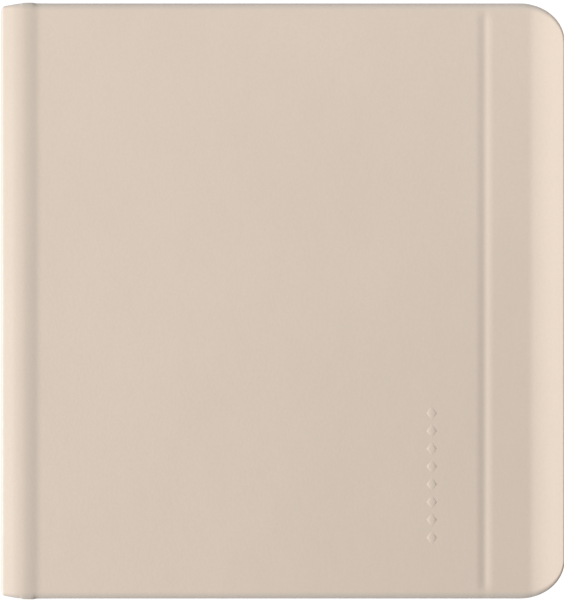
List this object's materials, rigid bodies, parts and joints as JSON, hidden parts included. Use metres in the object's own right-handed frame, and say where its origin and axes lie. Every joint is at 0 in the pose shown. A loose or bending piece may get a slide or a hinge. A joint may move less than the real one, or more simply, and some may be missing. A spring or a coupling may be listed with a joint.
{
  "type": "e-reader",
  "caption": "Wide-grip e-reader clipped in a closed sand-coloured folio cover with a rounded spine, a pressed fold line and a flap over the grip.",
  "frame": {"origin": "centre of the back face, on the surface the closed folio lies on", "axes": "+X from the spine towards the page buttons and the cover's free edge, +Y up the page, +Z out of the front cover"},
  "size_m": [0.159, 0.168, 0.0159],
  "materials": {
    "leather": "smooth sand-coloured coated leather, fine grain, satin",
    "board": "stiff grey-brown board, hidden",
    "tray_plastic": "sand-coloured matt plastic",
    "microfibre": "short-napped microfibre",
    "reader_case": "fine-textured black plastic",
    "button_plastic": "smooth black plastic",
    "seal_rubber": "black silicone",
    "screen_film": "anti-glare film over a light grey display",
    "touch_glass": "clear",
    "clear_plastic": "clear light guide",
    "eink": "paper-like grey",
    "flex_film": "amber polyimide",
    "led_white": "white",
    "chassis_metal": "die-cast, blasted",
    "magnet": "nickel plated",
    "steel": "stainless",
    "battery_foil": "foil pouch",
    "circuit_board": "green solder mask",
    "chip_black": "moulded epoxy",
    "copper": "copper foil"
  },
  "bodies": {
    "root": {"back_leather": "leather", "back_board": "board", "tray_shell": "tray_plastic", "tray_pad": "microfibre", "fold_strip_back": "leather", "rear_housing": "reader_case", "front_bezel": "reader_case", "perimeter_seal": "seal_rubber", "cover_film": "screen_film", "touch_panel": "touch_glass", "light_guide": "clear_plastic", "eink_panel": "eink", "led_strip": "flex_film", "leds": "led_white", "display_flex": "flex_film", "mid_frame": "chassis_metal", "grip_magnets": "magnet", "frame_screws": "steel", "battery": "battery_foil", "battery_flex": "flex_film", "main_board": "circuit_board", "shield_can": "steel", "board_chips": "chip_black", "usb_receptacle": "steel", "usb_seal": "seal_rubber", "wifi_antenna": "copper", "button_board": "circuit_board", "dome_switches": "steel", "hall_sensor": "chip_black", "power_switch": "chip_black"},
    "spine": {"spine_leather": "leather", "spine_board": "board", "spine_lining": "microfibre", "fold_strip_front": "leather"},
    "cover": {"front_leather": "leather", "front_board": "board", "front_lining": "microfibre", "sleep_magnet": "magnet", "groove_strip": "leather"},
    "flap": {"flap_leather": "leather", "flap_board": "board", "flap_lining": "microfibre", "flap_magnets": "magnet"},
    "page_forward": {"page_forward_button": "button_plastic"},
    "page_back": {"page_back_button": "button_plastic"},
    "power": {"power_button": "button_plastic"}
  },
  "joints": [
    {"name": "spine_fold", "type": "hinge", "parent": "root", "child": "spine", "pos_m": [-0.077, 0, 0.0025], "axis": [0, -1, 0], "range_deg": [0, 90], "deforming": ["fold_strip_back"]},
    {"name": "cover_fold", "type": "hinge", "parent": "spine", "child": "cover", "pos_m": [-0.077, 0, 0.0115], "axis": [0, -1, 0], "range_deg": [0, 89], "deforming": ["fold_strip_front"]},
    {"name": "flap_fold", "type": "hinge", "parent": "cover", "child": "flap", "pos_m": [0.0573, 0, 0.0127], "axis": [0, 1, 0], "range_deg": [-110, 0], "deforming": ["groove_strip"]},
    {"name": "page_forward_press", "type": "slide", "parent": "root", "child": "page_forward", "axis": [0, 0, -1], "range_m": [0, 0.00035], "stiffness_N_per_m": 600, "springref_m": -0.0006},
    {"name": "page_back_press", "type": "slide", "parent": "root", "child": "page_back", "axis": [0, 0, -1], "range_m": [0, 0.00035], "stiffness_N_per_m": 600, "springref_m": -0.0006},
    {"name": "power_press", "type": "slide", "parent": "root", "child": "power", "axis": [0, 0, 1], "range_m": [0, 0.00035], "stiffness_N_per_m": 600, "springref_m": -0.0006}
  ]
}
